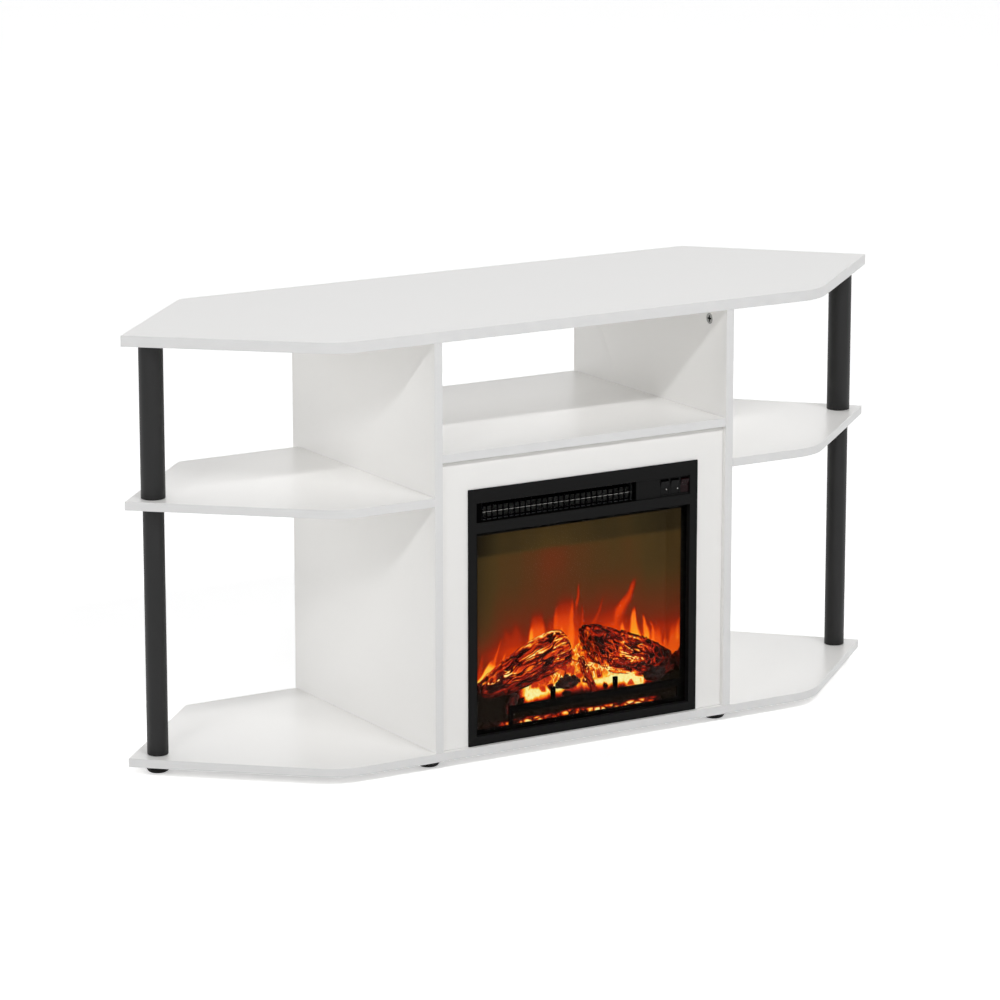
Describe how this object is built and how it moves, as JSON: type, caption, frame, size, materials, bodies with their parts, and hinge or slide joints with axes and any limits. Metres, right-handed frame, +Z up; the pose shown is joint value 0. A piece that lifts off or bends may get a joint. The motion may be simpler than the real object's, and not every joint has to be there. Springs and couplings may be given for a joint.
{
  "type": "fireplace tv stand",
  "caption": "Corner television stand with open shelves on round posts and an electric fireplace insert with logs, flame effect, blower heater and switches.",
  "frame": {"origin": "on the floor, below the middle of the stand", "axes": "+X to the right as seen from the front, +Y from front to back, +Z up"},
  "size_m": [1.2, 0.394, 0.6],
  "materials": {
    "white_laminate": "satin white laminate",
    "black_tube": "matte black wrap",
    "black_plastic": "satin moulded",
    "zinc_fittings": "zinc plated",
    "trim_black": "satin black powder coat",
    "control_black": "satin moulded",
    "rocker_black": "gloss moulded",
    "housing_black": "matte black",
    "smoked_glass": "clear tinted",
    "heater_metal": "bare fins",
    "blower_metal": "mill finish",
    "motor_black": "painted",
    "flame_screen": "translucent amber",
    "rotor_foil": "bright foil",
    "light_board": "lacquered",
    "log_bark": "charred resin",
    "glowing_embers": "translucent resin",
    "grate_black": "matte black"
  },
  "bodies": {
    "stand": {"top_board": "white_laminate", "base_board": "white_laminate", "left_divider": "white_laminate", "right_divider": "white_laminate", "left_shelf": "white_laminate", "right_shelf": "white_laminate", "centre_shelf": "white_laminate", "front_panel": "white_laminate", "upper_left_tube": "black_tube", "upper_right_tube": "black_tube", "lower_left_tube": "black_tube", "lower_right_tube": "black_tube", "left_tube_foot": "black_plastic", "right_tube_foot": "black_plastic", "front_left_foot": "black_plastic", "front_right_foot": "black_plastic", "back_left_foot": "black_plastic", "back_right_foot": "black_plastic", "cord_gland": "black_plastic", "left_shelf_stud": "zinc_fittings", "right_shelf_stud": "zinc_fittings", "left_top_stud": "zinc_fittings", "right_top_stud": "zinc_fittings", "front_left_foot_screw": "zinc_fittings", "front_right_foot_screw": "zinc_fittings", "back_left_foot_screw": "zinc_fittings", "back_right_foot_screw": "zinc_fittings", "front_left_cam_lock": "zinc_fittings", "front_right_cam_lock": "zinc_fittings", "back_left_cam_lock": "zinc_fittings", "back_right_cam_lock": "zinc_fittings", "front_left_cam_bolt": "zinc_fittings", "front_right_cam_bolt": "zinc_fittings", "back_left_cam_bolt": "zinc_fittings", "back_right_cam_bolt": "zinc_fittings", "left_bracket": "zinc_fittings", "right_bracket": "zinc_fittings", "trim_frame": "trim_black", "outlet_grille": "trim_black", "control_plate": "control_black", "insert_housing": "housing_black", "back_cover": "housing_black", "glass_panel": "smoked_glass", "heater_element": "heater_metal", "blower_housing": "blower_metal", "blower_motor": "motor_black", "rotor_motor": "motor_black", "flame_screen": "flame_screen", "rotor_bearing": "rotor_foil", "light_board": "light_board", "left_log": "log_bark", "right_log": "log_bark", "ember_bed": "glowing_embers", "grate": "grate_black"},
    "blower": {"blower_wheel": "blower_metal"},
    "flicker": {"flame_rotor": "rotor_foil"},
    "heater_switch": {"heater_rocker": "rocker_black"},
    "flame_switch": {"flame_rocker": "rocker_black"},
    "power_switch": {"power_rocker": "rocker_black"}
  },
  "joints": [
    {"name": "blower_spin", "type": "hinge", "parent": "stand", "child": "blower", "pos_m": [-0.04, -0.1295, 0.349], "axis": [1, 0, 0], "continuous": true},
    {"name": "flicker_spin", "type": "hinge", "parent": "stand", "child": "flicker", "pos_m": [0, -0.0995, 0.072], "axis": [1, 0, 0], "continuous": true},
    {"name": "heater_switch_tilt", "type": "hinge", "parent": "stand", "child": "heater_switch", "pos_m": [0.1309, -0.1824, 0.3465], "axis": [1, 0, 0], "range_deg": [-16, 0]},
    {"name": "flame_switch_tilt", "type": "hinge", "parent": "stand", "child": "flame_switch", "pos_m": [0.1474, -0.1824, 0.3465], "axis": [1, 0, 0], "range_deg": [-16, 0]},
    {"name": "power_switch_tilt", "type": "hinge", "parent": "stand", "child": "power_switch", "pos_m": [0.1639, -0.1824, 0.3465], "axis": [1, 0, 0], "range_deg": [-16, 0]}
  ]
}
